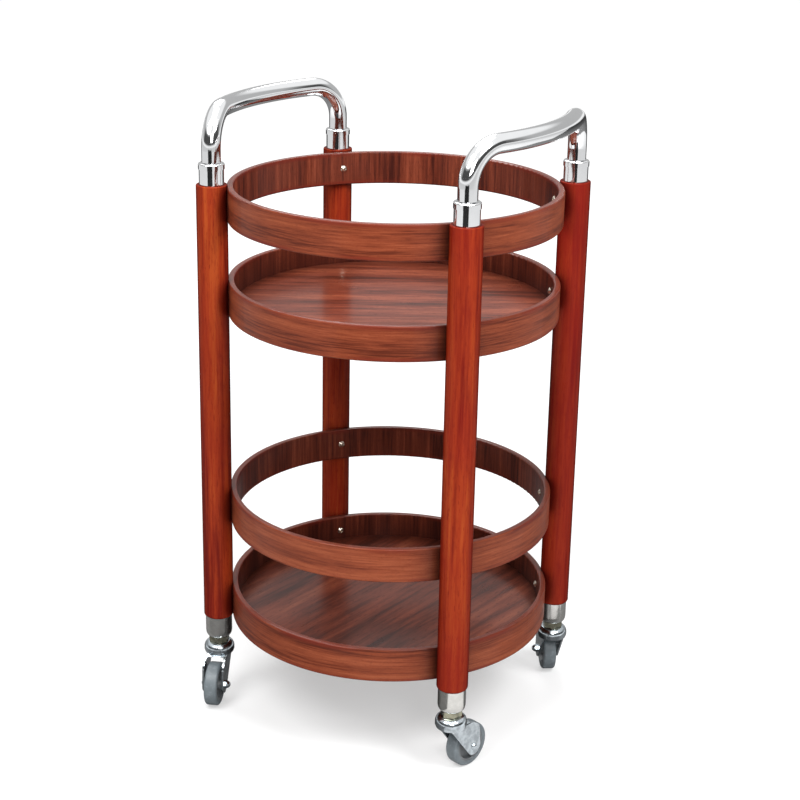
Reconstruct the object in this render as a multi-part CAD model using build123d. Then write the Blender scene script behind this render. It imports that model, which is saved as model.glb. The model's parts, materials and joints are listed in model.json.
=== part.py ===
from build123d import *
import math
import os

# Round two-tier buffet cart: four wooden posts on swivel casters, two bentwood trays,
# each under a bentwood guard rail, and two bent chrome push handles.
# Millimetres, +Z up, origin on the floor under the middle of the trays.
# The handles stand on the -X and +X sides.

os.makedirs("parts", exist_ok=True)

# Fits
running_clearance = 0.05
slip_gap = 0.4

# Posts
post_radius = 20.5
post_length = 613.0
post_seat_depth = 1.5
post_foot_round = 3.5
post_head_round = 1.5
tenon_length = 25.0

# Bentwood hoops and tray boards
hoop_radius = 220.0
hoop_wall = 8.5
hoop_height = 46.0
hoop_edge_round = 2.2
lower_tray_rise = 3.0
lower_rail_rise = 144.5
upper_tray_rise = 438.5
upper_rail_drop = 2.5
board_thickness = 8.0
board_rise = 3.0
board_edge_gap = 0.2
tongue_thickness = 4.0
tongue_depth = 4.0

# Hoop screws
screw_shank_radius = 2.0
screw_length = 30.0
screw_head_radius = 4.8
screw_head_height = 3.0
screw_head_sink = 0.2

# Handles and their collars
tube_radius = 12.5
tube_wall = 1.5
handle_rise = 91.0
handle_bend_radius = 47.0
handle_splay = 19.0
socket_depth = 20.0
collar_radius = 16.3
collar_height = 28.0
collar_bead_radius = 17.2
collar_bead_height = 8.0
collar_bead_round = 2.0

# Casters, from the floor up
wheel_radius = 30.0
tyre_width = 18.0
tyre_thickness = 7.0
tyre_shoulder_round = 3.0
hub_boss_radius = 6.5
hub_boss_overhang = 3.2
hub_web_thickness = 6.0
hub_rim_thickness = 4.0
hub_rim_inset = 0.6
hub_draft = 1.0
axle_radius = 3.0
bolt_head_radius = 5.0
bolt_head_height = 3.6
cap_nut_flats = 10.0
cap_nut_height = 7.0
cap_nut_crown = 0.5
caster_trail = 30.0
fork_plate = 2.5
fork_bend_radius = 5.0
fork_eye_radius = 12.0
fork_crown_rise = 37.5
fork_crown_radius = 20.0
fork_front_reach = 15.0
fork_back_reach = 17.0
fork_shoulder_radius = 14.0
fork_shoulder_rise = 22.0
fork_shoulder_setback = 4.0
race_hub_radius = 11.5
race_hub_height = 4.0
ball_radius = 2.5
ball_count = 10
ball_seat_depth = 0.6
cap_radius = 21.0
cap_height = 12.5
cap_wall = 2.0
cap_side_height = 3.5
cap_shoulder_radius = 13.0
stem_radius = 5.0
stem_head_radius = 8.0
stem_head_height = 2.5
lock_nut_flats = 25.0
lock_nut_height = 9.5
ferrule_radius = 18.3
ferrule_wall = 2.7
ferrule_height = 31.0
ferrule_round_height = 9.0
ferrule_foot_radius = 14.0
insert_radius = 7.5
insert_length = 30.0

# Turn of the back right post, and way each caster trails, in degrees anticlockwise from +X
post_bearing = 38.4
caster_headings = {
    "front_left": 293.0,
    "front_right": 76.0,
    "back_right": 126.0,
    "back_left": 105.0,
}

# Places that follow from the sizes above
post_circle = hoop_radius + post_radius - post_seat_depth
post_x = post_circle * math.cos(math.radians(post_bearing))
post_y = post_circle * math.sin(math.radians(post_bearing))
post_places = {
    "front_left": (-post_x, -post_y),
    "front_right": (post_x, -post_y),
    "back_right": (post_x, post_y),
    "back_left": (-post_x, post_y),
}
hoop_inner_radius = hoop_radius - hoop_wall
crown_under_z = wheel_radius + fork_crown_rise
crown_top_z = crown_under_z + fork_plate
cap_rim_z = crown_top_z + slip_gap
cap_top_z = cap_rim_z + cap_height
ferrule_foot_z = cap_top_z + lock_nut_height
post_foot_z = ferrule_foot_z + ferrule_height
post_head_z = post_foot_z + post_length
tenon_foot_z = post_foot_z - tenon_length
tenon_radius = ferrule_radius - ferrule_wall
hoop_rises = {
    "lower_tray_rim": lower_tray_rise,
    "lower_rail": lower_rail_rise,
    "upper_tray_rim": upper_tray_rise,
    "upper_rail": post_length - upper_rail_drop - hoop_height,
}
hoop_foot_z = {name: post_foot_z + rise for name, rise in hoop_rises.items()}
hub_radius = wheel_radius - tyre_thickness
hub_half_length = tyre_width / 2 + hub_boss_overhang
fork_half_gap = hub_half_length + slip_gap
fork_half_width = fork_half_gap + fork_plate
ball_circle = race_hub_radius + ball_radius + slip_gap
ball_z = crown_top_z + ball_radius - ball_seat_depth
cap_ceiling_z = ball_z + ball_radius + slip_gap


def turned(*corners):
    """Solid turned about Z from the corners of its half section, given as (radius, height)."""
    face = make_face(Polyline(*corners, close=True))
    return revolve(Plane.XZ * face, Axis.Z)


def round_edges(shape, radius):
    """Circular edges of the given radius, from the lowest up."""
    found = [edge for edge in shape.edges().filter_by(GeomType.CIRCLE) if abs(edge.radius - radius) < 0.01]
    return sorted(found, key=lambda edge: edge.center().Z)


def at_post(name, shape):
    """Shape made on the Z axis, moved to the axis of the named post."""
    x, y = post_places[name]
    return Pos(x, y, 0) * shape


def at_caster(name, shape):
    """Shape made trailing towards +X, turned as the named caster trails and moved under its post."""
    return at_post(name, Rot(0, 0, caster_headings[name]) * shape)


def hoop_blank(foot_z):
    """Disc with the hoop's rounded outer edge: the hoop before its middle is cut out."""
    disc = Pos(0, 0, foot_z + hoop_height / 2) * Cylinder(hoop_radius, hoop_height)
    return fillet(disc.edges().filter_by(GeomType.CIRCLE), hoop_edge_round)


def hoop_screw(name, foot_z):
    """Domed screw driven outwards through the middle of a hoop into the named post."""
    x, y = post_places[name]
    reach = hoop_inner_radius + screw_head_sink
    sphere_radius = (screw_head_radius ** 2 + screw_head_height ** 2) / (2 * screw_head_height)
    half = make_face(
        [
            Polyline((screw_head_radius, 0), (screw_shank_radius, 0), (screw_shank_radius, screw_length)),
            Polyline((screw_shank_radius, screw_length), (0, screw_length), (0, -screw_head_height)),
            RadiusArc((0, -screw_head_height), (screw_head_radius, 0), sphere_radius),
        ]
    )
    screw = revolve(Plane.XZ * half, Axis.Z)
    towards_post = Rot(0, 0, math.degrees(math.atan2(y, x)))
    head_place = Pos(reach, 0, foot_z + hoop_height / 2)
    return towards_post * head_place * Rot(0, 90, 0) * screw


def tray_board(foot_z):
    """Round board with a tongue round its lower edge that sits in the groove of a tray rim."""
    under_z = foot_z + board_rise
    tongue_radius = hoop_inner_radius + tongue_depth
    top_radius = hoop_inner_radius - board_edge_gap
    return turned(
        (0, under_z),
        (tongue_radius, under_z),
        (tongue_radius, under_z + tongue_thickness),
        (top_radius, under_z + tongue_thickness),
        (top_radius, under_z + board_thickness),
        (0, under_z + board_thickness),
    )


screws = {}
hoops = {}
for hoop_name, foot_z in hoop_foot_z.items():
    screws[hoop_name] = [hoop_screw(name, foot_z) for name in post_places]
    middle = Pos(0, 0, foot_z + hoop_height / 2) * Cylinder(hoop_inner_radius, 2 * hoop_height)
    ring = hoop_blank(foot_z) - middle
    ring = fillet(round_edges(ring, hoop_inner_radius), hoop_edge_round)
    if hoop_name.endswith("tray_rim"):
        ring = ring - tray_board(foot_z)
    for screw in screws[hoop_name]:
        ring = ring - screw
    hoops[hoop_name] = ring

# Post with a turned tenon for the ferrule, a socket for the handle and shallow seats for the hoops
post_blank = turned(
    (0, tenon_foot_z),
    (tenon_radius, tenon_foot_z),
    (tenon_radius, post_foot_z),
    (post_radius, post_foot_z),
    (post_radius, post_head_z),
    (0, post_head_z),
)
foot_edge = round_edges(post_blank, post_radius)[0]
post_blank = fillet(foot_edge, post_foot_round)
head_edge = round_edges(post_blank, post_radius)[-1]
post_blank = fillet(head_edge, post_head_round)
insert_top_z = tenon_foot_z + insert_length
insert_hole = Pos(0, 0, tenon_foot_z + insert_length / 2) * Cylinder(insert_radius, insert_length)
handle_socket = Pos(0, 0, post_head_z - socket_depth / 2) * Cylinder(tube_radius, socket_depth)
post_blank = post_blank - insert_hole - handle_socket

posts = {}
for name in post_places:
    post = at_post(name, post_blank)
    for hoop_name, foot_z in hoop_foot_z.items():
        post = post - hoop_blank(foot_z)
        for screw in screws[hoop_name]:
            post = post - screw
    posts[name] = post


def handle(side):
    """Bent tube on the posts of one side: two legs, two corner bends and a bridge bowed outwards."""
    splay = math.radians(handle_splay)
    foot_z = post_head_z - socket_depth
    bend_z = post_head_z + handle_rise - handle_bend_radius
    bridge_z = post_head_z + handle_rise
    bend_x = post_x + handle_bend_radius * math.sin(splay)
    bend_y = post_y - handle_bend_radius * math.cos(splay)
    bow_radius = bend_y / math.sin(splay)
    crest_x = bend_x + bow_radius * (1 - math.cos(splay))
    half_bend = math.radians(45)
    elbow_out = handle_bend_radius * (1 - math.cos(half_bend))
    elbow_up = handle_bend_radius * math.sin(half_bend)
    elbow_x = post_x + elbow_out * math.sin(splay)
    elbow_y = post_y - elbow_out * math.cos(splay)
    first_leg = Line((post_x, -post_y, foot_z), (post_x, -post_y, bend_z))
    first_bend = ThreePointArc(
        (post_x, -post_y, bend_z), (elbow_x, -elbow_y, bend_z + elbow_up), (bend_x, -bend_y, bridge_z)
    )
    bridge = ThreePointArc((bend_x, -bend_y, bridge_z), (crest_x, 0, bridge_z), (bend_x, bend_y, bridge_z))
    second_bend = ThreePointArc(
        (bend_x, bend_y, bridge_z), (elbow_x, elbow_y, bend_z + elbow_up), (post_x, post_y, bend_z)
    )
    second_leg = Line((post_x, post_y, bend_z), (post_x, post_y, foot_z))
    path = Wire([first_leg, first_bend, bridge, second_bend, second_leg])
    section = Plane((post_x, -post_y, foot_z)) * (Circle(tube_radius) - Circle(tube_radius - tube_wall))
    tube = sweep(section, path=path)
    return tube if side > 0 else Rot(0, 0, 180) * tube


# Collar on a post head: a sleeve round the tube with a rounded bead at its top
collar_top_z = post_head_z + collar_height
bead_foot_z = collar_top_z - collar_bead_height
collar = turned(
    (tube_radius, post_head_z),
    (collar_radius, post_head_z),
    (collar_radius, bead_foot_z),
    (collar_bead_radius, bead_foot_z),
    (collar_bead_radius, collar_top_z),
    (tube_radius, collar_top_z),
)
bead_edge = round_edges(collar, collar_bead_radius)[-1]
collar = fillet(bead_edge, collar_bead_round)

# Ferrule: a turned cup on the post's tenon, rounded in towards the lock nut
ferrule_round_z = ferrule_foot_z + ferrule_round_height
ferrule_half = make_face(
    [
        Polyline((stem_radius, ferrule_foot_z), (ferrule_foot_radius, ferrule_foot_z)),
        EllipticalCenterArc(
            (ferrule_foot_radius, ferrule_round_z),
            ferrule_radius - ferrule_foot_radius,
            ferrule_round_height,
            start_angle=270,
            arc_size=90,
        ),
        Polyline(
            (ferrule_radius, ferrule_round_z),
            (ferrule_radius, post_foot_z),
            (tenon_radius, post_foot_z),
            (tenon_radius, tenon_foot_z),
            (stem_radius, tenon_foot_z),
            (stem_radius, ferrule_foot_z),
        ),
    ]
)
ferrule = revolve(Plane.XZ * ferrule_half, Axis.Z)

# Threaded insert in the tenon, and the caster stem that screws into it
insert = turned(
    (stem_radius, tenon_foot_z),
    (insert_radius, tenon_foot_z),
    (insert_radius, insert_top_z),
    (stem_radius, insert_top_z),
)
stem_head_top_z = crown_under_z - slip_gap
stem = turned(
    (0, stem_head_top_z - stem_head_height),
    (stem_head_radius, stem_head_top_z - stem_head_height),
    (stem_head_radius, stem_head_top_z),
    (stem_radius, stem_head_top_z),
    (stem_radius, insert_top_z),
    (0, insert_top_z),
)

# Lock nut with its corners turned off
lock_nut_corner = lock_nut_flats / math.sqrt(3)
lock_nut_hex = Pos(0, 0, cap_top_z) * extrude(RegularPolygon(lock_nut_corner, 6), lock_nut_height)
corner_drop = (lock_nut_corner - lock_nut_flats / 2) * math.tan(math.radians(30))
lock_nut_turning = turned(
    (stem_radius, cap_top_z),
    (lock_nut_flats / 2, cap_top_z),
    (lock_nut_corner, cap_top_z + corner_drop),
    (lock_nut_corner, ferrule_foot_z - corner_drop),
    (lock_nut_flats / 2, ferrule_foot_z),
    (stem_radius, ferrule_foot_z),
)
lock_nut = lock_nut_hex & lock_nut_turning

# Bearing cap: a domed cup fixed on the stem, over the balls
cap_shoulder_z = cap_rim_z + cap_side_height
cap_half = make_face(
    [
        Polyline((stem_radius, cap_top_z), (cap_shoulder_radius, cap_top_z)),
        EllipticalCenterArc(
            (cap_shoulder_radius, cap_shoulder_z),
            cap_radius - cap_shoulder_radius,
            cap_top_z - cap_shoulder_z,
            start_angle=0,
            arc_size=90,
        ),
        Polyline(
            (cap_radius, cap_shoulder_z),
            (cap_radius, cap_rim_z),
            (cap_radius - cap_wall, cap_rim_z),
            (cap_radius - cap_wall, cap_ceiling_z),
            (stem_radius, cap_ceiling_z),
            (stem_radius, cap_top_z),
        ),
    ]
)
bearing_cap = revolve(Plane.XZ * cap_half, Axis.Z)

# Balls in a ring round the fork's race hub
ball_places = PolarLocations(ball_circle, ball_count)
balls = [Pos(0, 0, ball_z) * place * Sphere(ball_radius) for place in ball_places]

# Fork: a bent channel cut to its side outline, under a round crown with a raised race hub
channel_outside = RectangleRounded(2 * fork_half_width, 2 * crown_top_z, fork_bend_radius)
channel_hollow = RectangleRounded(2 * fork_half_gap, 2 * crown_under_z, fork_bend_radius - fork_plate)
channel_length = caster_trail + wheel_radius + fork_eye_radius
channel = extrude(Plane.YZ * (channel_outside - channel_hollow), channel_length, both=True)
eye_circle = Pos(caster_trail, wheel_radius) * Circle(fork_eye_radius)
shoulder_place = Pos(caster_trail - fork_shoulder_setback, wheel_radius + fork_shoulder_rise)
shoulder_circle = shoulder_place * Circle(fork_shoulder_radius)
crown_line = Line((-fork_front_reach, crown_top_z), (fork_back_reach, crown_top_z))
side_outline = make_hull([*eye_circle.edges(), *shoulder_circle.edges(), crown_line])
side_block = extrude(Plane.XZ * side_outline, 2 * fork_half_width, both=True)
fork = channel & side_block
crown = Pos(0, 0, crown_under_z + fork_plate / 2) * Cylinder(fork_crown_radius, fork_plate)
race_hub = Pos(0, 0, crown_top_z + race_hub_height / 2) * Cylinder(race_hub_radius, race_hub_height)
fork = fork + crown + race_hub
fork = fork - Pos(0, 0, crown_top_z) * Cylinder(stem_radius + running_clearance, 4 * fork_crown_rise)
fork = fork - Pos(0, 0, ball_z) * Torus(ball_circle, ball_radius)
axle_line = Pos(caster_trail, 0, wheel_radius) * Rot(90, 0, 0)
fork = fork - axle_line * Cylinder(axle_radius, 4 * fork_half_width)

# Axle bolt with a domed head, and the cap nut on its other end
bolt_end = fork_half_width + cap_nut_height / 2
bolt_head_top = fork_half_width + bolt_head_height
bolt_dome_radius = (bolt_head_radius ** 2 + bolt_head_height ** 2) / (2 * bolt_head_height)
bolt_half = make_face(
    [
        Line((bolt_head_radius, fork_half_width), (axle_radius, fork_half_width)),
        Line((axle_radius, fork_half_width), (axle_radius, -bolt_end)),
        Polyline((axle_radius, -bolt_end), (0, -bolt_end), (0, bolt_head_top)),
        RadiusArc((0, bolt_head_top), (bolt_head_radius, fork_half_width), bolt_dome_radius),
    ]
)
axle_bolt = axle_line * revolve(Plane.XZ * bolt_half, Axis.Z)
cap_nut_corner = cap_nut_flats / math.sqrt(3)
cap_nut_hex = extrude(RegularPolygon(cap_nut_corner, 6), -cap_nut_height)
cap_nut_hex = Pos(0, 0, -fork_half_width) * cap_nut_hex
cap_nut_dome_height = cap_nut_height + cap_nut_crown
cap_nut_dome_half = make_face(
    [
        Polyline((0, -fork_half_width), (cap_nut_corner, -fork_half_width)),
        EllipticalCenterArc(
            (0, -fork_half_width), cap_nut_corner, cap_nut_dome_height, start_angle=270, arc_size=90
        ),
        Line((0, -fork_half_width - cap_nut_dome_height), (0, -fork_half_width)),
    ]
)
cap_nut = cap_nut_hex & revolve(Plane.XZ * cap_nut_dome_half, Axis.Z)
cap_nut = axle_line * (cap_nut - Pos(0, 0, -fork_half_width) * Cylinder(axle_radius, cap_nut_height))

# Wheel hub with a running bore, and the tyre moulded on it
hub_half_rim = tyre_width / 2 - hub_rim_inset
hub_half_web = hub_web_thickness / 2
hub_rim_radius = hub_radius - hub_rim_thickness
hub_bore_radius = axle_radius + running_clearance
hub = axle_line * turned(
    (hub_bore_radius, -hub_half_length),
    (hub_boss_radius, -hub_half_length),
    (hub_boss_radius + hub_draft, -hub_half_web),
    (hub_rim_radius, -hub_half_web),
    (hub_rim_radius + hub_draft, -hub_half_rim),
    (hub_radius, -hub_half_rim),
    (hub_radius, hub_half_rim),
    (hub_rim_radius + hub_draft, hub_half_rim),
    (hub_rim_radius, hub_half_web),
    (hub_boss_radius + hub_draft, hub_half_web),
    (hub_boss_radius, hub_half_length),
    (hub_bore_radius, hub_half_length),
)
tyre = Cylinder(wheel_radius, tyre_width) - Cylinder(hub_radius, 2 * tyre_width)
tyre = axle_line * fillet(round_edges(tyre, wheel_radius), tyre_shoulder_round)

# One file for each named piece
for name, post in posts.items():
    export_step(post, f"parts/post_{name}.step")
    export_step(at_post(name, collar), f"parts/collar_{name}.step")
    export_step(at_post(name, ferrule), f"parts/ferrule_{name}.step")
    export_step(at_caster(name, stem), f"parts/caster_stem_{name}.step")
    export_step(at_caster(name, bearing_cap), f"parts/bearing_cap_{name}.step")
    export_step(at_caster(name, fork), f"parts/fork_{name}.step")
    export_step(at_caster(name, Compound(children=balls)), f"parts/bearing_balls_{name}.step")
    export_step(at_caster(name, axle_bolt), f"parts/axle_bolt_{name}.step")
    export_step(at_caster(name, cap_nut), f"parts/axle_nut_{name}.step")
    export_step(at_caster(name, hub), f"parts/wheel_hub_{name}.step")
    export_step(at_caster(name, tyre), f"parts/tyre_{name}.step")
for hoop_name, ring in hoops.items():
    export_step(ring, f"parts/{hoop_name}.step")
    export_step(Compound(children=screws[hoop_name]), f"parts/screws_{hoop_name}.step")
export_step(tray_board(hoop_foot_z["upper_tray_rim"]), "parts/upper_tray_board.step")
export_step(tray_board(hoop_foot_z["lower_tray_rim"]), "parts/lower_tray_board.step")
export_step(handle(-1), "parts/handle_left.step")
export_step(handle(1), "parts/handle_right.step")
inserts = Compound(children=[at_post(name, insert) for name in post_places])
export_step(inserts, "parts/threaded_inserts.step")
lock_nuts = Compound(children=[at_caster(name, lock_nut) for name in post_places])
export_step(lock_nuts, "parts/lock_nuts.step")
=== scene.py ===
# %% [markdown]
# # A round two-tier serving cart
# The cart has four turned posts in red mahogany stain, four bentwood hoops, two round tray boards, two
# bowed chrome handles and four swivel casters. Its shapes come from the packed CAD frame, in metres,
# with every node already in place. This lesson gives each of those nodes its finish, cuts the recesses
# of the hoop screws, and sets the camera and the light.

import json
import math

import bmesh
import bpy
from mathutils import Matrix, Vector


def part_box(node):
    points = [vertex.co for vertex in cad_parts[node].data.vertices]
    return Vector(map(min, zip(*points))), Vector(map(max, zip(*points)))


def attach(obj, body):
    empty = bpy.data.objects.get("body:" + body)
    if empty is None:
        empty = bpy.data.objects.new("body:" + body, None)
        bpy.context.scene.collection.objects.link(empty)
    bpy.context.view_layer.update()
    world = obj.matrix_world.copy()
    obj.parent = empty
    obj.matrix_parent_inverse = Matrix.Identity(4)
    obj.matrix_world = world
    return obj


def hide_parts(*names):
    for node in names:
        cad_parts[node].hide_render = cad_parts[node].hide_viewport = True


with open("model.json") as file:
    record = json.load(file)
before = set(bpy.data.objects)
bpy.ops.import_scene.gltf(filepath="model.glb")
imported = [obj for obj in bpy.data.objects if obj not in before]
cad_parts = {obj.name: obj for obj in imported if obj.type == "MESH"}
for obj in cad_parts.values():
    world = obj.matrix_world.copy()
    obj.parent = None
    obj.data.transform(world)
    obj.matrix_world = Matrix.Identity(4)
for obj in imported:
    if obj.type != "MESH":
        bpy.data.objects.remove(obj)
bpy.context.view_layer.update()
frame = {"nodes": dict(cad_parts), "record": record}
nodes = frame["nodes"]

# %% [markdown]
# ## The camera
# The photograph was taken from the front right and from above, with a long lens. The camera could be
# set by eye, but a pinhole camera fitted to the hoops' edges and the posts gives its distance, height
# and tilt at once. Its optical axis meets the picture a little above the middle, so the lens is shifted
# by that small amount, and the picture leans by one degree.

# %% Camera
picture_width = 800
focal_pixels = 1660.2
axis_column = 392.9
axis_row = 352.0
camera_distance = 2.1245
camera_height = 1.2026
camera_azimuth = math.radians(30.97)
camera_tilt = math.radians(18.22)
camera_roll = math.radians(1.04)

toward_camera = Vector((math.sin(camera_azimuth), -math.cos(camera_azimuth), 0))
to_the_right = Vector((math.cos(camera_azimuth), math.sin(camera_azimuth), 0))
upward = Vector((0, 0, 1))


def put_in_scene(name, data):
    """A new object for some data, linked into the scene."""
    made = bpy.data.objects.new(name, data)
    bpy.context.scene.collection.objects.link(made)
    return made


camera_data = bpy.data.cameras.new("camera")
camera_data.sensor_width = 36
camera_data.lens = camera_data.sensor_width * focal_pixels / picture_width
camera_data.shift_x = (picture_width / 2 - axis_column) / picture_width
camera_data.shift_y = (axis_row - picture_width / 2) / picture_width
camera = put_in_scene("camera", camera_data)
bpy.context.scene.camera = camera

gaze = -toward_camera * math.cos(camera_tilt) - upward * math.sin(camera_tilt)
picture_up = to_the_right.cross(gaze)
turn = Matrix((to_the_right, picture_up, -gaze)).transposed() @ Matrix.Rotation(camera_roll, 3, "Z")
stand = toward_camera * camera_distance + upward * camera_height
camera.matrix_world = Matrix.Translation(stand) @ turn.to_4x4()
print("lens:", round(camera_data.lens, 1), "mm")
print("shift:", round(camera_data.shift_x, 3), round(camera_data.shift_y, 3))

# %% [markdown]
# ## Small tools for shader nodes
# A material in Blender is a tree of nodes. Written out one call at a time, a tree hides its idea behind
# its wiring. One helper here feeds a socket with a number or with another node's output, and the other
# adds a node with all its inputs at once.

# %% Node helpers
def feed(tree, socket, value):
    """Links an output to a socket, or writes a plain value on it."""
    if isinstance(value, bpy.types.NodeSocket):
        tree.links.new(value, socket)
    else:
        socket.default_value = value


def add(tree, kind, inputs=None, **settings):
    """Adds a node, with its settings and its inputs by name or number."""
    made = tree.nodes.new(kind)
    for name, value in settings.items():
        setattr(made, name, value)
    for name, value in (inputs or {}).items():
        feed(tree, made.inputs[name], value)
    return made


print("helpers: feed, add")

# %% [markdown]
# ## Sums, ramps and mixes
# The trees below need only a few kinds of node. Arithmetic, a smooth step, a mix of two colours and a
# noise each get a short name here, and two more helpers take a vector apart and put one together. Each
# hands back its result, so that a tree reads like a sum.

# %% Sum helpers
def calc(tree, operation, *values):
    """One step of arithmetic."""
    made = add(tree, "ShaderNodeMath", operation=operation)
    for socket, value in zip(made.inputs, values):
        feed(tree, socket, value)
    return made.outputs[0]


def ramp(tree, value, low, high, start=0.0, end=1.0):
    """A smooth step of value, from start at low to end at high."""
    made = add(tree, "ShaderNodeMapRange", interpolation_type="SMOOTHSTEP")
    for socket, number in zip(made.inputs, (value, low, high, start, end)):
        feed(tree, socket, number)
    return made.outputs[0]


def blend(tree, share, first, second):
    """A mix of two colours, whose sockets come after the Mix node's sockets for numbers and vectors."""
    return add(tree, "ShaderNodeMix", {0: share, 6: first, 7: second}, data_type="RGBA").outputs[2]


def noise(tree, vector, scale, detail=2.0, roughness=0.5):
    """A cloud of values round 0.5."""
    inputs = {"Vector": vector, "Scale": scale, "Detail": detail, "Roughness": roughness}
    return add(tree, "ShaderNodeTexNoise", inputs).outputs[0]


def split(tree, vector):
    """The three parts of a vector."""
    return add(tree, "ShaderNodeSeparateXYZ", {0: vector}).outputs


def join(tree, x, y, z):
    """A vector from its three parts."""
    return add(tree, "ShaderNodeCombineXYZ", {0: x, 1: y, 2: z}).outputs[0]


print("helpers: calc, ramp, blend, noise, split, join")

# %% [markdown]
# ## Groups
# A look that several materials share is built once, as a node group with named sockets, and then placed
# in each material with its own values. One helper makes an empty group, and the other places a group in
# a tree.

# %% Group helpers
def new_group(name, inputs, outputs):
    """A node group with named sockets: gives the group, what comes in and what goes out."""
    group = bpy.data.node_groups.new(name, "ShaderNodeTree")
    for label, kind, value in inputs:
        socket = group.interface.new_socket(label, in_out="INPUT", socket_type="NodeSocket" + kind)
        socket.default_value = value
    for label, kind in outputs:
        group.interface.new_socket(label, in_out="OUTPUT", socket_type="NodeSocket" + kind)
    return group, add(group, "NodeGroupInput").outputs, add(group, "NodeGroupOutput").inputs


def place_group(tree, group, inputs):
    """Places a node group in a tree with its own values, and gives its outputs."""
    made = tree.nodes.new("ShaderNodeGroup")
    made.node_tree = group
    for name, value in inputs.items():
        feed(tree, made.inputs[name], value)
    return made.outputs


print("helpers: new_group, place_group")

# %% [markdown]
# ## The figure of the wood
# Stained mahogany and rosewood show four things at once: broad soft bands, fine dark and light streaks,
# short dark flecks and open pores. All are long along the grain and narrow across it. An image of wood
# would carry them too, but it would need unwrapping and would repeat. Here each is a noise stretched
# along the grain, so the figure runs through the solid, and one more noise lets the grain wander. The
# group wants points whose X runs along the grain, and each piece brings its own.

# %% Wood figure group
wander_width = 0.03
wanders_per_metre = 9.0

wood_figure, given, result = new_group(
    "Wood figure",
    [
        ("Grain space", "Vector", (0, 0, 0)),
        ("Stretch", "Float", 14.0),
        ("Bands per metre", "Float", 30.0),
        ("Streaks per metre", "Float", 220.0),
        ("Flecks", "Float", 0.15),
        ("Dark", "Color", (0.05, 0.01, 0.008, 1)),
        ("Middle", "Color", (0.2, 0.04, 0.02, 1)),
        ("Light", "Color", (0.4, 0.1, 0.04, 1)),
    ],
    [("Color", "Color"), ("Dullness", "Float"), ("Height", "Float")],
)
apart = split(wood_figure, given["Grain space"])
along = calc(wood_figure, "DIVIDE", apart[0], given["Stretch"])
straight = join(wood_figure, along, apart[1], apart[2])
sway = noise(wood_figure, straight, wanders_per_metre)
wander = calc(wood_figure, "MULTIPLY_ADD", sway, wander_width, -wander_width / 2)
wavy_y = calc(wood_figure, "ADD", apart[1], wander)
wavy = join(wood_figure, along, wavy_y, apart[2])
bands = noise(wood_figure, wavy, given["Bands per metre"], detail=3.0)
streaks = noise(wood_figure, wavy, given["Streaks per metre"], detail=5.0, roughness=0.65)
print("group:", wood_figure.name, "has bands and streaks")

# %% [markdown]
# ## Pores, flecks and tones
# Pores and flecks are the same kind of noise, only stretched less and cut off sharply, so that just the
# peaks show. Bands and streaks together choose between a dark, a middle and a light tone. The group
# also gives a dullness, since pores shine less, and a height for a slight bump.

# %% Wood figure tones
pore_shortness = 2.5
pores_per_streak = 5.0
pore_strength = 0.55
pore_peaks = (0.60, 0.72)
fleck_stretch = 6.0
fleck_peaks = (0.57, 0.70)
dark_to_middle = (0.36, 0.53)
middle_to_light = (0.50, 0.64)

pore_along = calc(wood_figure, "MULTIPLY", along, pore_shortness)
pore_space = join(wood_figure, pore_along, wavy_y, apart[2])
pore_scale = calc(wood_figure, "MULTIPLY", given["Streaks per metre"], pores_per_streak)
pore_cloud = noise(wood_figure, pore_space, pore_scale, detail=1.0)
pores = ramp(wood_figure, pore_cloud, *pore_peaks)
fleck_along = calc(wood_figure, "DIVIDE", apart[0], fleck_stretch)
fleck_space = join(wood_figure, fleck_along, wavy_y, apart[2])
fleck_cloud = noise(wood_figure, fleck_space, given["Streaks per metre"], detail=2.0)
flecks = ramp(wood_figure, fleck_cloud, *fleck_peaks)
tone = calc(wood_figure, "MULTIPLY_ADD", streaks, 0.5, calc(wood_figure, "MULTIPLY", bands, 0.5))
body = blend(wood_figure, ramp(wood_figure, tone, *dark_to_middle), given["Dark"], given["Middle"])
figured = blend(wood_figure, ramp(wood_figure, tone, *middle_to_light), body, given["Light"])
fleck_share = calc(wood_figure, "MULTIPLY", flecks, given["Flecks"])
flecked = blend(wood_figure, fleck_share, figured, given["Dark"])
pored = blend(wood_figure, calc(wood_figure, "MULTIPLY", pores, pore_strength), flecked, given["Dark"])
wood_figure.links.new(pored, result["Color"])
wood_figure.links.new(calc(wood_figure, "MULTIPLY_ADD", pores, 0.5, streaks), result["Dullness"])
wood_figure.links.new(calc(wood_figure, "SUBTRACT", streaks, pores), result["Height"])
print("group:", wood_figure.name, "has", len(wood_figure.nodes), "nodes")

# %% [markdown]
# ## Rubbed edges
# Lacquer is thin on a corner, and plating is rubbed bright there. Such wear could be painted on, but
# every edge would need it. The Bevel node gives a rounded normal, which departs from the true normal
# only near an edge, so the angle between the two is a mask for edges of any shape. A noise breaks the
# mask up, because real rubbing is never even.

# %% Rubbed edge group
flat_to_edge = (0.985, 0.86)
kept_to_rubbed = (0.35, 0.65)

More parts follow.
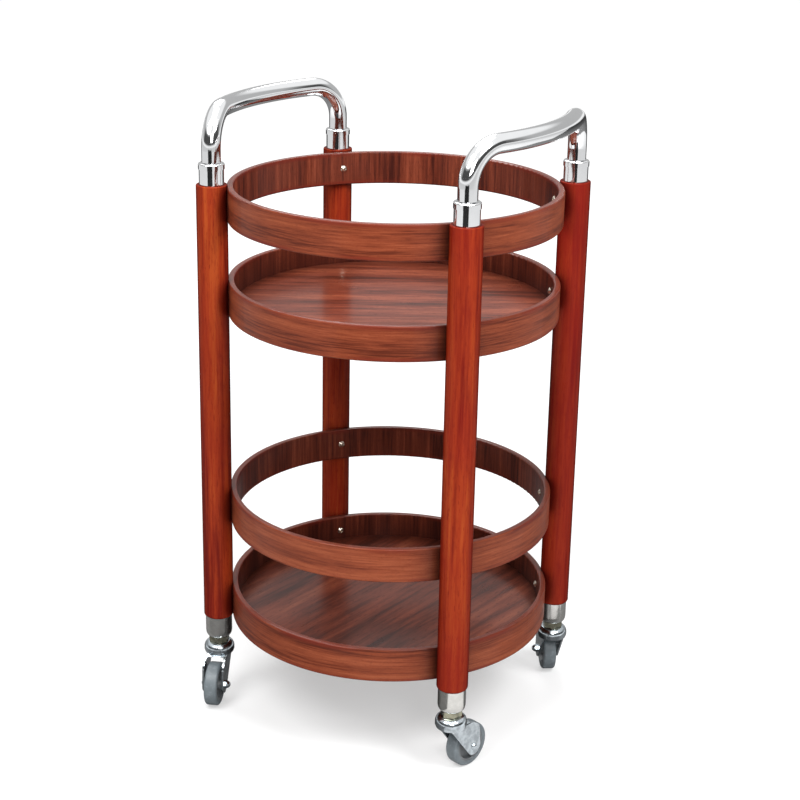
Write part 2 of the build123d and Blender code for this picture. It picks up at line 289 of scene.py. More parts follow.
rubbed_edge, given, result = new_group(
    "Rubbed edge",
    [("Width", "Float", 0.002), ("Patches per metre", "Float", 60.0), ("Position", "Vector", (0, 0, 0))],
    [("Mask", "Float")],
)
rounded = add(rubbed_edge, "ShaderNodeBevel", {"Radius": given["Width"]}, samples=6).outputs[0]
true_normal = add(rubbed_edge, "ShaderNodeNewGeometry").outputs["Normal"]
both_normals = {0: rounded, 1: true_normal}
agreement = add(rubbed_edge, "ShaderNodeVectorMath", both_normals, operation="DOT_PRODUCT").outputs[1]
edge = ramp(rubbed_edge, agreement, *flat_to_edge)
rubbing = noise(rubbed_edge, given["Position"], given["Patches per metre"], 4.0, 0.6)
patches = ramp(rubbed_edge, rubbing, *kept_to_rubbed)
rubbed_edge.links.new(calc(rubbed_edge, "MULTIPLY", edge, patches), result["Mask"])
print("group:", rubbed_edge.name)

# %% [markdown]
# ## Handling marks
# No finish stays evenly bright: hands leave broad smears, and dusting leaves hair-fine scratches. They
# are far too many to model, and both change the gloss much more than the colour. So a broad and a fine
# noise stand for them, and the group gives a value round zero, to be added to a roughness.

# %% Handling mark group
hairs_per_smear = 60.0
hair_share = 0.3
average = 0.5 + 0.5 * hair_share

handling, given, result = new_group(
    "Handling marks",
    [("Position", "Vector", (0, 0, 0)), ("Smears per metre", "Float", 25.0), ("Strength", "Float", 0.1)],
    [("Dullness", "Float")],
)
smears = noise(handling, given["Position"], given["Smears per metre"], 4.0, 0.6)
hair_scale = calc(handling, "MULTIPLY", given["Smears per metre"], hairs_per_smear)
hairs = noise(handling, given["Position"], hair_scale, 2.0)
dull = calc(handling, "MULTIPLY_ADD", hairs, hair_share, calc(handling, "SUBTRACT", smears, average))
handling.links.new(calc(handling, "MULTIPLY", dull, given["Strength"]), result["Dullness"])
print("group:", handling.name)

# %% [markdown]
# ## Painted corner shade
# The corners between hoop, post and board are darkened with painted shade, a dark colour where shade
# would fall. The Ambient Occlusion node tells how closed in a point is within some reach, which makes
# it a mask for such corners.

# %% Painted corner shade group
open_to_closed = (0.95, 0.40)

painted_corner_shade, given, result = new_group("Painted corner shade", [("Reach", "Float", 0.05)], [("Mask", "Float")])
closeness = {"Distance": given["Reach"]}
openness = add(painted_corner_shade, "ShaderNodeAmbientOcclusion", closeness, samples=6).outputs["AO"]
painted_corner_shade.links.new(ramp(painted_corner_shade, openness, *open_to_closed), result["Mask"])
print("group:", painted_corner_shade.name)

# %% [markdown]
# ## Starting a finish
# Every finish here starts from Blender's Principled shader. Values that are even all over the surface
# are set straight on its sockets, where an exporter can read them. Values that vary come from node
# trees that take the point's place on the object. A slight bump makes grain and turning marks catch the
# light.

# %% Finish helpers
def new_finish(name, **fixed):
    """A material with a Principled shader, whose even values are set on its own sockets."""
    material = bpy.data.materials.new(name)
    material.use_nodes = True
    tree = material.node_tree
    shader = tree.nodes["Principled BSDF"]
    for socket, value in fixed.items():
        shader.inputs[socket.replace("_", " ")].default_value = value
    position = add(tree, "ShaderNodeTexCoord").outputs["Object"]
    return material, tree, shader.inputs, position


def set_gloss(tree, sockets, position, pattern, base, spread, smears_per_metre, smear):
    """Makes the shader's roughness from a base, the spread of a pattern, and handling marks."""
    inputs = {"Position": position, "Smears per metre": smears_per_metre, "Strength": smear}
    marks = place_group(tree, handling, inputs)
    dull = calc(tree, "MULTIPLY_ADD", pattern, spread, base)
    tree.links.new(calc(tree, "ADD", dull, marks["Dullness"]), sockets["Roughness"])


def edge_mask(tree, position, width, patches_per_metre):
    """Where edges of some width are rubbed, in patches."""
    inputs = {"Width": width, "Patches per metre": patches_per_metre, "Position": position}
    return place_group(tree, rubbed_edge, inputs)["Mask"]


def paint_corner_shade(tree, colour, reach, strength, corner_shade_colour):
    """A colour that turns to a painted shade in closed-in corners."""
    corner = place_group(tree, painted_corner_shade, {"Reach": reach})
    return blend(tree, calc(tree, "MULTIPLY", corner["Mask"], strength), colour, corner_shade_colour)


def raise_grain(tree, sockets, height, strength, depth):
    """Turns a height into a bump on the shader's normal."""
    bump = add(tree, "ShaderNodeBump", {"Height": height, "Strength": strength, "Distance": depth})
    tree.links.new(bump.outputs[0], sockets["Normal"])


print("helpers: new_finish, set_gloss, edge_mask, paint_corner_shade, raise_grain")

# %% [markdown]
# ## Lacquered posts
# The posts are turned from straight-grained timber, stained red, and lacquered until they shine. The
# grain runs up the post, so the height becomes the grain's X. The stain took unevenly, so a slow noise
# leads from orange to crimson, and each post was stained by itself, so each gets its own share of
# crimson from one recipe. The lacquer is the Principled shader's coat, tinted like the stain. Light
# that leaves at a slant has gone a longer way through it, so the tint darkens the post toward its
# outlines, and the post looks round and deep. The coat's refraction is low, which keeps the white floor
# from glaring along the outlines.

# %% Post wood
orange_stain = {
    "Dark": (0.18, 0.017, 0.011, 1), "Middle": (0.39, 0.058, 0.018, 1), "Light": (0.51, 0.111, 0.027, 1)
}
crimson = (0.265, 0.014, 0.014, 1)
bare_post = (0.56, 0.20, 0.08, 1)
# The next colour is painted shade, laid in the post's closed-in corners.
post_corner_shade_colour = (0.055, 0.004, 0.004, 1)
orange_to_red = (0.38, 0.60)


def post_finish(name, least_red, most_red):
    """Lacquered wood whose orange stain turns crimson in patches, between a least and a most share."""
    material, tree, sockets, position = new_finish(
        name, Coat_Weight=1.0, Coat_Roughness=0.06, Coat_IOR=1.03, Coat_Tint=(0.79, 0.63, 0.59, 1),
        Specular_IOR_Level=0.08,
    )
    apart = split(tree, position)
    wood = place_group(tree, wood_figure, {
        "Grain space": join(tree, apart[2], apart[0], apart[1]), "Stretch": 26.0,
        "Bands per metre": 34.0, "Streaks per metre": 190.0, "Flecks": 0.3, **orange_stain,
    })
    patchy = noise(tree, position, scale=7.0, detail=3.0)
    uneven = ramp(tree, patchy, *orange_to_red, start=least_red, end=most_red)
    stained = blend(tree, uneven, wood["Color"], crimson)
    worn = edge_mask(tree, position, width=0.0025, patches_per_metre=70.0)
    rubbed = blend(tree, calc(tree, "MULTIPLY", worn, 0.5), stained, bare_post)
    # Painted shade: the colour turns dark in closed-in corners next to the hoops.
    corner_shaded = paint_corner_shade(tree, rubbed, reach=0.05, strength=0.8, corner_shade_colour=post_corner_shade_colour)
    tree.links.new(corner_shaded, sockets["Base Color"])
    set_gloss(
        tree, sockets, position, wood["Dullness"], base=0.24, spread=0.1, smears_per_metre=18.0, smear=0.12
    )
    raise_grain(tree, sockets, wood["Height"], strength=0.06, depth=0.0003)
    return material


post_woods = {
    "post_front_left": post_finish("front_left_post_wood", least_red=0.0, most_red=0.2),
    "post_front_right": post_finish("front_right_post_wood", least_red=0.1, most_red=0.5),
    "post_back_left": post_finish("back_left_post_wood", least_red=0.0, most_red=0.3),
    "post_back_right": post_finish("back_right_post_wood", least_red=0.5, most_red=0.8),
}
print("finishes:", sorted(post_woods))

# %% [markdown]
# ## The way round a hoop
# Each hoop is a strip of laminated wood bent into a ring. On its outside the grain follows the bend, so
# the figure needs the length along the bend, which is the angle times the radius. It is mirrored at the
# front left and back right posts, which hide the two places where the figure turns back on itself. On
# its inside a cross-laid face shows upright stripes, so there the height takes the grain's place.

# %% Hoop grain
hoops = ["upper_rail", "upper_tray_rim", "lower_rail", "lower_tray_rim"]
hoop_low, hoop_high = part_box(hoops[0])
hoop_radius = (hoop_high.x - hoop_low.x) / 2


def bearing_of(post):
    """The way from the cart's middle to a post, as an angle from the X axis."""
    low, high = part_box(post)
    return math.atan2(low.y + high.y, low.x + high.x)


hoop_wood, tree, sockets, position = new_finish("hoop_wood", Coat_Roughness=0.10, Specular_IOR_Level=0.10)
mirror_turn = (0, 0, -bearing_of("post_back_right"))
turned = add(tree, "ShaderNodeMapping", {"Vector": position, "Rotation": mirror_turn}).outputs[0]
apart = split(tree, turned)
angle = calc(tree, "ABSOLUTE", calc(tree, "ARCTAN2", apart[1], apart[0]))
arc = calc(tree, "MULTIPLY", angle, hoop_radius)
flat = join(tree, apart[0], apart[1], 0)
reach = add(tree, "ShaderNodeVectorMath", {0: flat}, operation="LENGTH").outputs["Value"]
outside = place_group(tree, wood_figure, {
    "Grain space": join(tree, arc, apart[2], reach), "Stretch": 24.0,
    "Bands per metre": 70.0, "Streaks per metre": 460.0,
    "Dark": (0.09, 0.017, 0.008, 1), "Middle": (0.23, 0.049, 0.020, 1), "Light": (0.31, 0.078, 0.033, 1),
})
inside = place_group(tree, wood_figure, {
    "Grain space": join(tree, apart[2], arc, reach), "Stretch": 26.0,
    "Bands per metre": 45.0, "Streaks per metre": 230.0, "Flecks": 0.05,
    "Dark": (0.045, 0.009, 0.006, 1), "Middle": (0.14, 0.028, 0.014, 1), "Light": (0.25, 0.057, 0.028, 1),
})
print("hoop radius:", round(hoop_radius, 4))

# %% [markdown]
# ## Bentwood hoops
# The strip's faces could have a material each. Here one material serves them all, because the distance
# from the cart's middle tells inside from outside. Stain gathers in patches along the strip's upper and
# lower edges, and the edges themselves show the strip's layers under thick lacquer. Rubbing bares the
# corners, and the places next to posts and boards are darkened with painted shade.

# %% Hoop wood
hoop_bounds = [corner.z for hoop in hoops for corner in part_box(hoop)]
gathered_stain = (0.15, 0.018, 0.010, 1)
pale_layer = (0.16, 0.036, 0.020, 1)
dark_layer = (0.07, 0.014, 0.009, 1)
bare_hoop = (0.36, 0.13, 0.08, 1)
# The next colour is painted shade, laid next to posts and boards.
hoop_corner_shade_colour = (0.025, 0.005, 0.004, 1)
inner_half = hoop_radius - 0.006
outer_half = hoop_radius - 0.004
stain_reach = 0.0075
stain_core = 0.003
side_to_edge = (0.55, 0.9)
pale_to_dark = (0.3, 0.9)
side_coat = 0.08
edge_coat = 0.38

facing = split(tree, add(tree, "ShaderNodeTexCoord").outputs["Normal"])
strip_edge = ramp(tree, calc(tree, "ABSOLUTE", facing[2]), *side_to_edge)
out_share = ramp(tree, reach, inner_half, outer_half)
sides = blend(tree, out_share, inside["Color"], outside["Color"])
to_the_edge = 1.0
for bound in hoop_bounds:
    distance = calc(tree, "ABSOLUTE", calc(tree, "SUBTRACT", apart[2], bound))
    to_the_edge = calc(tree, "MINIMUM", to_the_edge, distance)
patches = ramp(tree, noise(tree, position, scale=9.0, detail=3.0), 0.40, 0.62, start=0.0, end=0.7)
gathered = calc(tree, "MULTIPLY", patches, ramp(tree, to_the_edge, stain_reach, stain_core))
deepened = blend(tree, gathered, sides, gathered_stain)
layers = blend(tree, ramp(tree, outside["Dullness"], *pale_to_dark), pale_layer, dark_layer)
edged = blend(tree, calc(tree, "MULTIPLY", strip_edge, 0.75), deepened, layers)
worn = edge_mask(tree, position, width=0.0015, patches_per_metre=55.0)
rubbed = blend(tree, calc(tree, "MULTIPLY", worn, 0.35), edged, bare_hoop)
# Painted shade: the colour turns dark where the hoop meets a post or a board.
corner_shaded = paint_corner_shade(tree, rubbed, reach=0.08, strength=0.85, corner_shade_colour=hoop_corner_shade_colour)
tree.links.new(corner_shaded, sockets["Base Color"])
coat = calc(tree, "MULTIPLY_ADD", strip_edge, edge_coat - side_coat, side_coat)
tree.links.new(coat, sockets["Coat Weight"])
set_gloss(
    tree, sockets, position, outside["Dullness"], base=0.30, spread=0.14, smears_per_metre=20.0, smear=0.15
)
raise_grain(tree, sockets, outside["Height"], strength=0.12, depth=0.0003)
print("finish:", hoop_wood.name)

# %% [markdown]
# ## Tray boards
# The boards are veneered panels under gloss lacquer. The grain runs straight across the whole board,
# but the two boards were fixed with their grain in different directions, so one recipe is used twice
# with its own turn. It also takes a strength that divides the tones: the lower board's tones are
# darkened as painted shade from the upper tray above it, and the upper board's are lightened a little.

# %% Board wood
board_tones = {"Dark": (0.05, 0.010, 0.005), "Middle": (0.16, 0.034, 0.017), "Light": (0.27, 0.070, 0.034)}
# The next colour is painted shade, laid in the board's closed-in corners.
board_corner_shade_colour = (0.03, 0.006, 0.004, 1)
upper_grain = camera_azimuth
lower_grain = upper_grain + math.radians(52)


def board_finish(name, grain_turn, strength, coarseness):
    """Gloss veneer, grain turned from the X axis; a strength above one darkens it as painted shade."""
    material, tree, sockets, position = new_finish(
        name, Coat_Weight=0.55, Coat_Roughness=0.2, Specular_IOR_Level=0.04
    )
    grain = add(tree, "ShaderNodeMapping", {"Vector": position, "Rotation": (0, 0, -grain_turn)}).outputs[0]
    wood = place_group(tree, wood_figure, {
        "Grain space": grain, "Stretch": 12.0,
        "Bands per metre": 30.0 / coarseness, "Streaks per metre": 150.0 / coarseness,
        **{tone: (*(c / strength for c in colour), 1) for tone, colour in board_tones.items()},
    })
    # Painted shade: the colour turns dark in closed-in corners along the rim.
    corner_shaded = paint_corner_shade(tree, wood["Color"], reach=0.07, strength=0.7, corner_shade_colour=board_corner_shade_colour)
    tree.links.new(corner_shaded, sockets["Base Color"])
    set_gloss(
        tree, sockets, position, wood["Dullness"], base=0.26, spread=0.1, smears_per_metre=14.0, smear=0.2
    )
    raise_grain(tree, sockets, wood["Height"], strength=0.08, depth=0.0003)
    return material


board_woods = {
    # A strength above one darkens a board as painted shade: the lower board's, for the upper tray above it.
    "upper_tray_board": board_finish("upper_board_wood", upper_grain, strength=0.88, coarseness=1.0),
    "lower_tray_board": board_finish("lower_board_wood", lower_grain, strength=1.4, coarseness=1.5),
}
print("finishes:", sorted(board_woods))

# %% [markdown]
# ## Metals
# The handles and collars are bright chrome, the ferrules satin nickel, and the casters zinc-plated
# steel. They share one recipe, since metals differ mostly in tint, in gloss and in how their surface
# was worked. Turned and drawn pieces keep fine rings round their axis, so a noise squeezed along the
# height gives those. Smears and rubbed edges come from the groups above.

# %% Metal recipe
ring_squeeze = (60, 60, 2400)
ring_spread = 0.1
shade_to_tint = (0.35, 0.65)


def metal(name, tint, worn_tint, gloss_loss, ring_depth, smear, clouding=0.12):
    """Plated metal with turning rings, smears, clouding and rubbed edges."""
    material, tree, sockets, position = new_finish(name, Metallic=1.0)
    squeezed = add(tree, "ShaderNodeMapping", {"Vector": position, "Scale": ring_squeeze}).outputs[0]
    rings = noise(tree, squeezed, scale=1.0, detail=2.0)
    cloud = noise(tree, position, scale=120.0, detail=3.0)
    shade = tuple((1 - clouding) * c for c in tint)
    plated = blend(tree, ramp(tree, cloud, *shade_to_tint), (*shade, 1), (*tint, 1))
    worn = edge_mask(tree, position, width=0.0008, patches_per_metre=180.0)
    tree.links.new(blend(tree, worn, plated, (*worn_tint, 1)), sockets["Base Color"])
    set_gloss(
        tree, sockets, position, rings, base=gloss_loss - ring_spread / 2, spread=ring_spread,
        smears_per_metre=40.0, smear=smear,
    )
    raise_grain(tree, sockets, rings, strength=ring_depth, depth=0.0001)
    return material


print("recipe:", metal.__doc__)

# %% [markdown]
# ## Seven metals
# The recipe now gives seven metals. Chrome and ground steel are the glossiest, and the brass inserts
# keep the deepest turning rings. Zinc clouds as it ages, and the yellow kind clouds most.

# %% Metal finishes
metals = {
    "chrome": metal(
        "chrome", tint=(0.86, 0.87, 0.88), worn_tint=(0.94, 0.94, 0.95),
        gloss_loss=0.08, ring_depth=0.004, smear=0.03, clouding=0.02,
    ),
    "satin_steel": metal(
        "satin_nickel", tint=(0.70, 0.69, 0.66), worn_tint=(0.88, 0.86, 0.83),
        gloss_loss=0.16, ring_depth=0.02, smear=0.08, clouding=0.1,
    ),
    "zinc_steel": metal(
        "bright_zinc", tint=(0.60, 0.66, 0.70), worn_tint=(0.80, 0.83, 0.86),
        gloss_loss=0.16, ring_depth=0.03, smear=0.16, clouding=0.35,
    ),
    "nut_zinc": metal(
        "yellow_zinc", tint=(0.40, 0.39, 0.29), worn_tint=(0.62, 0.61, 0.52),
        gloss_loss=0.20, ring_depth=0.06, smear=0.20, clouding=0.4,
    ),
    "ball_steel": metal(
        "ground_steel", tint=(0.70, 0.70, 0.71), worn_tint=(0.80, 0.80, 0.80),
        gloss_loss=0.10, ring_depth=0.01, smear=0.06,
    ),
    "screw_steel": metal(
        "screw_nickel", tint=(0.72, 0.64, 0.54), worn_tint=(0.86, 0.80, 0.72),
        gloss_loss=0.26, ring_depth=0.03, smear=0.15,
    ),
    "insert_brass": metal(
        "turned_brass", tint=(0.72, 0.54, 0.26), worn_tint=(0.85, 0.70, 0.40),
        gloss_loss=0.25, ring_depth=0.10, smear=0.15,
    ),
}
print("metals:", sorted(metals))

# %% [markdown]
# ## Rubber and plastic
# The tyres are grey moulded rubber, and the hubs inside are moulded plastic of nearly the same grey.
# The mould leaves a fine, even skin, too fine to model, so a noise gives it as bump. Use scuffs the
# surface in patches and along its edges, which turn paler and duller, so one recipe does for both.

# %% Rubber and plastic finishes
skin_per_metre = 2600.0
clean_to_scuffed = (0.48, 0.70)
edge_share = 0.6


def moulded(name, tint, scuff_tint, dullness, skin, scuff_share):
    """Moulded grey material with a fine skin and pale scuffs."""
    material, tree, sockets, position = new_finish(name, IOR=1.5)
    rubbing = noise(tree, position, scale=160.0, detail=5.0, roughness=0.7)
    scuffs = ramp(tree, rubbing, *clean_to_scuffed)
    scuffed = calc(tree, "MULTIPLY", scuffs, scuff_share)
    edges = edge_mask(tree, position, width=0.002, patches_per_metre=220.0)
    worn = calc(tree, "MULTIPLY", edges, edge_share)
    pale = calc(tree, "MAXIMUM", scuffed, worn)
    tree.links.new(blend(tree, pale, (*tint, 1), (*scuff_tint, 1)), sockets["Base Color"])
    set_gloss(tree, sockets, position, scuffs, base=dullness, spread=0.15, smears_per_metre=60.0, smear=0.2)
    raise_grain(tree, sockets, noise(tree, position, skin_per_metre), strength=skin, depth=0.0001)
    return material


plastics = {
    "tyre_rubber": moulded(
        "tyre_rubber", tint=(0.15, 0.176, 0.192), scuff_tint=(0.28, 0.31, 0.33),
        dullness=0.42, skin=0.25, scuff_share=0.5,
    ),
    "hub_plastic": moulded(
        "hub_plastic", tint=(0.16, 0.17, 0.18), scuff_tint=(0.26, 0.27, 0.28),
        dullness=0.40, skin=0.10, scuff_share=0.3,
    ),
}
print("plastics:", sorted(plastics))

# %% [markdown]
# ## Handing out the finishes
# The packed record names a material slot for each node. Each slot now gets the finish made for it,
# while each post and each board gets its own.

# %% Assign finishes
finishes = {"hoop_wood": hoop_wood, **metals, **plastics}
own_finishes = {**post_woods, **board_woods}
for row in frame["record"]["subparts"]:
    piece = nodes[row["node"]]
    finish = own_finishes.get(row["node"]) or finishes[row["material_slot"]]
    piece.data.materials.clear()
    piece.data.materials.append(finish)

# %% [markdown]
# ## Hoop screws
# Four domed screws hold each hoop from inside, one at each post. Their solids have plain domes, since
# the driver's cross recess matters only to the eye. A screw with a recess starts as half an outline: an
# arc for the dome, a short band below it, and a straight shank with a tip.

# %% Screw outline
head_radius = 0.0048
head_height = 0.0030
head_band = 0.0004
shank_radius = 0.0020
shank_length = 0.030
tip_length = 0.003
dome_steps = 12

dome_height = head_height - head_band
dome_radius = (head_radius ** 2 + dome_height ** 2) / (2 * dome_height)
widest = math.asin(head_radius / dome_radius)

# Each point is a distance from the screw's axis and a distance along it.
screw_outline = []
for step in range(dome_steps + 1):
    lean = widest * step / dome_steps
    screw_outline.append((dome_radius * math.sin(lean), dome_radius * (1 - math.cos(lean)) - head_height))
screw_outline += [(head_radius, 0), (shank_radius, 0)]
screw_outline += [(shank_radius, shank_length - tip_length), (0, shank_length)]
print("screw outline:", len(screw_outline), "points")

# %% [markdown]
# ## Turning the screw
# Spinning the outline round its axis, as a lathe would, gives a clean round head from a few points.
# Points that meet on the axis are welded, so the head has no hole in its middle.

# %% Turn one screw
turning_steps = 64
weld_distance = 1e-6


def from_bmesh(name, shape):
    """Turns a finished bmesh into an object in the scene."""
    mesh = bpy.data.meshes.new(name)
    shape.to_mesh(mesh)
    shape.free()
    return put_in_scene(name, mesh)


def spun(name, outline):
    """An object made by spinning an outline once round the Z axis."""
    shape = bmesh.new()
    points = [shape.verts.new((reach, 0, height)) for reach, height in outline]
    lines = [shape.edges.new(pair) for pair in zip(points, points[1:])]
    bmesh.ops.spin(
        shape, geom=points + lines, cent=(0, 0, 0), axis=(0, 0, 1), angle=math.tau, steps=turning_steps,
        use_merge=True,
    )
    bmesh.ops.remove_doubles(shape, verts=shape.verts, dist=weld_distance)
    bmesh.ops.recalc_face_normals(shape, faces=shape.faces)
    return from_bmesh(name, shape)


screw_blank = spun("screw_blank", screw_outline)
print("screw blank:", len(screw_blank.data.vertices), "points")

# %% [markdown]
# ## The cross recess
# A punch leaves a cross that narrows as it goes in. Two crossed, tapered bars have that shape, and
# Boolean modifiers take them away from the head, which leaves crisp walls. The finished mesh is read
# from the evaluated object, and the blank and the bars are then removed.

# %% Cut the recess
recess_width = 0.0012
recess_reach = 0.0027
recess_depth = 0.0022
recess_taper = 0.45
bar_overlap = 0.0002


def recess_bar(name, turn):
    """A tapered bar that cuts one arm of the cross, turned about the screw's axis."""
    shape = bmesh.new()
    mouth = -head_height - bar_overlap
    for height, share in ((mouth, 1.0), (mouth + recess_depth, recess_taper)):
        half_length = recess_reach * share
        half_width = recess_width / 2 * (1 + share) / 2
        for along, across in ((-1, -1), (1, -1), (1, 1), (-1, 1)):
            shape.verts.new((along * half_length, across * half_width, height))
    bmesh.ops.convex_hull(shape, input=shape.verts)
    bmesh.ops.rotate(shape, verts=shape.verts, matrix=Matrix.Rotation(turn, 3, "Z"))
    bmesh.ops.recalc_face_normals(shape, faces=shape.faces)
    return from_bmesh(name, shape)


bars = [recess_bar("recess_bar_along", 0), recess_bar("recess_bar_across", math.pi / 2)]
for bar in bars:
    cut = screw_blank.modifiers.new(bar.name, "BOOLEAN")
    cut.operation = "DIFFERENCE"
    cut.object = bar
    cut.solver = "EXACT"
finished = screw_blank.evaluated_get(bpy.context.evaluated_depsgraph_get())
screw_mesh = bpy.data.meshes.new_from_object(finished)
for scaffold in [screw_blank, *bars]:
    bpy.data.objects.remove(scaffold)
print("screw:", len(screw_mesh.polygons), "faces")

# %% [markdown]
# ## Setting the screws
# Copies of the screw are set in the middle of every hoop's height, each pointing out to its post. Each
# stops at its own turn, as a hand-driven screw would. The four of a hoop are joined into one piece,
# because the frame has one node for them too. The pieces ride on the cart's body and stand for those
# nodes, whose screws are plain.

# %% Set the screws
head_sink = 0.0002
turn_step = math.radians(37)
sharp_angle = math.radians(35)
posts = ["post_front_left", "post_front_right", "post_back_left", "post_back_right"]
inner_radius = min(point.co.xy.length for point in nodes["upper_rail"].data.vertices)


def screw_place(hoop, post, turn):
    """Where a screw sits: in the middle of the hoop's height, pointing out to the post."""
    low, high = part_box(hoop)
    seat = Vector((inner_radius + head_sink, 0, (low.z + high.z) / 2))
    pointing = Matrix.Rotation(math.pi / 2, 4, "Y") @ Matrix.Rotation(turn, 4, "Z")
    return Matrix.Rotation(bearing_of(post), 4, "Z") @ Matrix.Translation(seat) @ pointing


for row, hoop in enumerate(hoops):
    hoop_set = bmesh.new()
    for column, post in enumerate(posts):
        copy = screw_mesh.copy()
        copy.transform(screw_place(hoop, post, turn_step * (row * len(posts) + column)))
        hoop_set.from_mesh(copy)
        bpy.data.meshes.remove(copy)
    piece = from_bmesh(f"recessed_screws_{hoop}", hoop_set)
    piece.data.shade_smooth()
    piece.data.set_sharp_from_angle(angle=sharp_angle)
    piece.data.materials.append(metals["screw_steel"])
    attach(piece, "cart")
    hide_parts(f"screws_{hoop}")
bpy.data.meshes.remove(screw_mesh)
print("screws set in:", hoops)

# %% [markdown]
# ## Floor
# The photograph is a studio picture on white. A wide pale floor fills the camera's view and still takes
# the cart's shadow. To the camera and in mirrors the floor glows a little, and more so far from the
# cart, which lifts it to white without lighting the cart more. Close to the cart the mirrored glow
# fades, as a painted shadow of the cart that only mirrors show, so low metal keeps its grey sides.

# %% Floor
floor_reach = 20
square = ((-1, -1), (1, -1), (1, 1), (-1, 1))


def stage_sheet(name, corners, finish):
    """A flat sheet with four corners for the studio, kept apart from the cart."""
    mesh = bpy.data.meshes.new(name)
    mesh.from_pydata(corners, [], [(0, 1, 2, 3)])
    mesh.materials.append(finish)
    sheet = put_in_scene(name, mesh)
    return sheet


pale_floor, tree, sockets, position = new_finish(
    "pale_floor", Base_Color=(0.55, 0.55, 0.55, 1), Roughness=0.9, Specular_IOR_Level=0.0,
    Emission_Color=(1, 1, 1, 1),
)
rays = add(tree, "ShaderNodeLightPath").outputs
direct = calc(tree, "MAXIMUM", rays["Is Camera Ray"], rays["Is Transmission Ray"])
away = add(tree, "ShaderNodeVectorMath", {0: position}, operation="LENGTH").outputs["Value"]
# Painted shadow: in mirrors the floor's glow is low close to the cart.
painted_shadow_in_mirrors = ramp(tree, away, low=0.28, high=0.50, start=0.1, end=0.6)
mirrored = calc(tree, "MULTIPLY", rays["Is Glossy Ray"], painted_shadow_in_mirrors)
seen = calc(tree, "ADD", mirrored, direct)
glow = ramp(tree, away, low=0.4, high=3.0, start=0.46, end=0.90)
tree.links.new(calc(tree, "MULTIPLY", seen, glow), sockets["Emission Strength"])
stage_sheet("floor", [(x * floor_reach, y * floor_reach, 0) for x, y in square], pale_floor)
print("floor:", floor_reach * 2, "m across")

# %% [markdown]
# ## Cards for the chrome
# Polished metal shows only what stands round it, so a studio lays dark cards out of the picture. A
# black one lies in front of the cart and a grey one behind it, both flat on the floor. They give each
# tube a dark line along its middle and grey edges. Two small grey ones at the cart's foot are painted
# shade: they stand for the cart's shadow on the floor as mirrors show it, and give the low ferrules
# grey sides. A white one brightens the fork in front. Only mirror rays meet these cards: the camera,
# the shadows and the soft light pass them.

# %% Cards
card_lift = upward * 0.002


def floor_card(name, outline, grey):
    """A flat card on the floor that only reflections show; corners count to the right and the front."""
    paper, tree, sockets, position = new_finish(name, Roughness=0.9, Specular_IOR_Level=0.0)
    fibres = noise(tree, position, scale=300.0, detail=3.0)
    dark_fibre = 0.8 * grey
    shades = ((dark_fibre, dark_fibre, dark_fibre, 1), (grey, grey, grey, 1))
    tree.links.new(blend(tree, fibres, *shades), sockets["Base Color"])
    corners = [to_the_right * right + toward_camera * front + card_lift for right, front in outline]
    card = stage_sheet(name, corners, paper)
    card.visible_camera = False
    card.visible_diffuse = False
    card.visible_transmission = False
    card.visible_shadow = False


floor_card("black_card", [(-0.75, 0.85), (0.30, 0.85), (1.46, 9.0), (-5.3, 9.0)], grey=0.05)
# The next two grey cards are painted shade: the cart's shadow on the floor, as mirrors show it.
floor_card("left_shade_card", [(-0.60, -0.02), (0.03, 0.10), (-0.04, 0.44), (-0.60, 0.44)], grey=0.16)
floor_card("right_shade_card", [(0.13, 0.05), (0.45, 0.05), (0.45, 0.17), (0.13, 0.17)], grey=0.16)
floor_card("white_card", [(0.12, 0.18), (0.27, 0.18), (0.27, 0.27), (0.12, 0.27)], grey=0.72)
floor_card("grey_card", [(-0.60, 0.08), (0.60, 0.08), (10.6, -9.0), (-10.6, -9.0)], grey=0.22)

# %% [markdown]
# ## Lamps
# Large soft lamps hang to the right and left of the camera, and weaker ones in front, behind and
# overhead. Most hang high, because a low lamp would glare in the tray boards, and because the upper
# tray then shades the inner sides of the posts. The one in front hangs lower and reaches in under the
# upper tray.

# %% Lamps
middle = Vector((0, 0, 0.42))
lamp_distance = 2.8


def soft_lamp(name, bearing, rise, width, power):
    """A square soft lamp, some degrees to the right of the camera and some above the cart's middle."""
    data = bpy.data.lights.new(name, "AREA")
    data.size = width
    data.energy = power
    lamp = put_in_scene(name, data)
    turn = math.radians(bearing)
    lift = math.radians(rise)
    level = toward_camera * math.cos(turn) + to_the_right * math.sin(turn)
    outward = level * math.cos(lift) + upward * math.sin(lift)
    lamp.location = middle + outward * lamp_distance
    lamp.rotation_euler = (-outward).to_track_quat("-Z", "Y").to_euler()


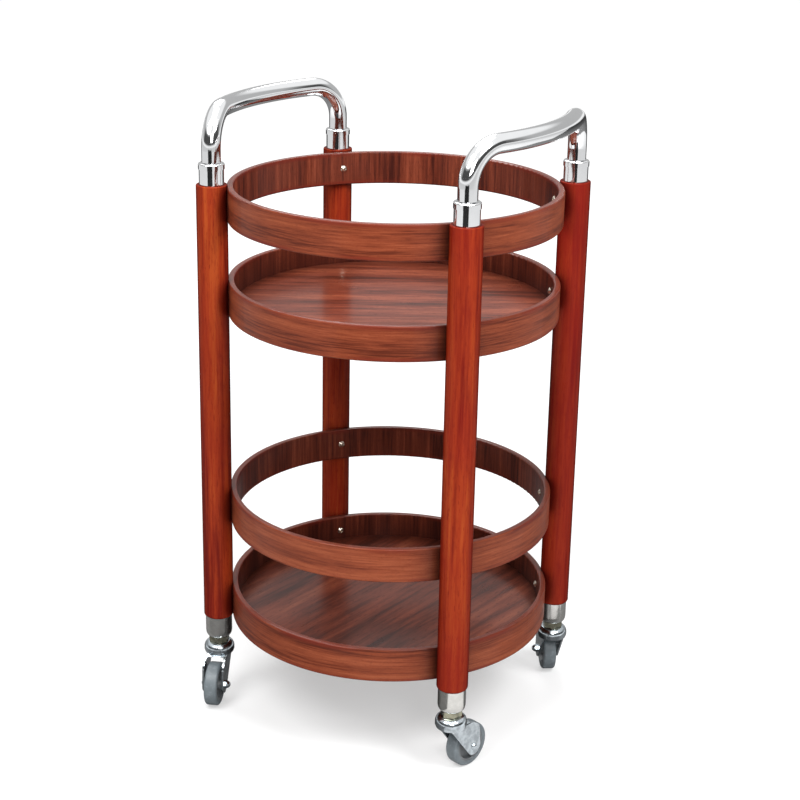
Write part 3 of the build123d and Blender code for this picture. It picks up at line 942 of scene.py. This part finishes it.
soft_lamp("right_lamp", bearing=45, rise=50, width=1.1, power=60)
soft_lamp("left_lamp", bearing=-42, rise=50, width=1.3, power=54)
soft_lamp("front_lamp", bearing=8, rise=29, width=1.0, power=28)
soft_lamp("back_lamp", bearing=-168, rise=52, width=1.5, power=44)
soft_lamp("top_lamp", bearing=0, rise=85, width=2.0, power=14)

# %% [markdown]
# ## The room
# The world stands for the room. It lights the cart a little from all sides and is white to the camera.
# In mirrors it has grey walls, a white ceiling and a dark wall behind the camera: chrome needs
# something dark to show, or it looks like white plastic.

# %% Room
daylight = 0.18
wall_foot = (0.02, 0.10)
wall_top = (0.55, 0.40)
wall_grey = 0.5
front_dark = 0.43

world = bpy.data.worlds.new("studio")
world.use_nodes = True
bpy.context.scene.world = world
tree = world.node_tree
rays = add(tree, "ShaderNodeLightPath").outputs
direction = add(tree, "ShaderNodeTexCoord").outputs["Generated"]
height = split(tree, direction)[2]
forward = {0: direction, 1: toward_camera}
front = add(tree, "ShaderNodeVectorMath", forward, operation="DOT_PRODUCT").outputs["Value"]
wall = calc(tree, "MULTIPLY", ramp(tree, height, *wall_foot), ramp(tree, height, *wall_top))
dark_wall = calc(tree, "MULTIPLY", wall, ramp(tree, front, -0.25, 0.15))
grey_wall = calc(tree, "MULTIPLY_ADD", wall, -wall_grey, 1.0)
mirrored = calc(tree, "MULTIPLY_ADD", dark_wall, -front_dark, grey_wall)
seen = calc(tree, "MAXIMUM", rays["Is Camera Ray"], rays["Is Transmission Ray"])
in_mirrors = calc(tree, "MULTIPLY", rays["Is Glossy Ray"], mirrored)
lit = calc(tree, "MULTIPLY", rays["Is Diffuse Ray"], daylight)
sky = tree.nodes["Background"]
sky.inputs["Color"].default_value = (1, 1, 1, 1)
tree.links.new(calc(tree, "ADD", lit, calc(tree, "ADD", seen, in_mirrors)), sky.inputs["Strength"])
bpy.context.scene.view_settings.view_transform = "Standard"
print("room:", world.name)

# %% [markdown]
# ## The size of what was made
# Finishes don't change the cart's size.
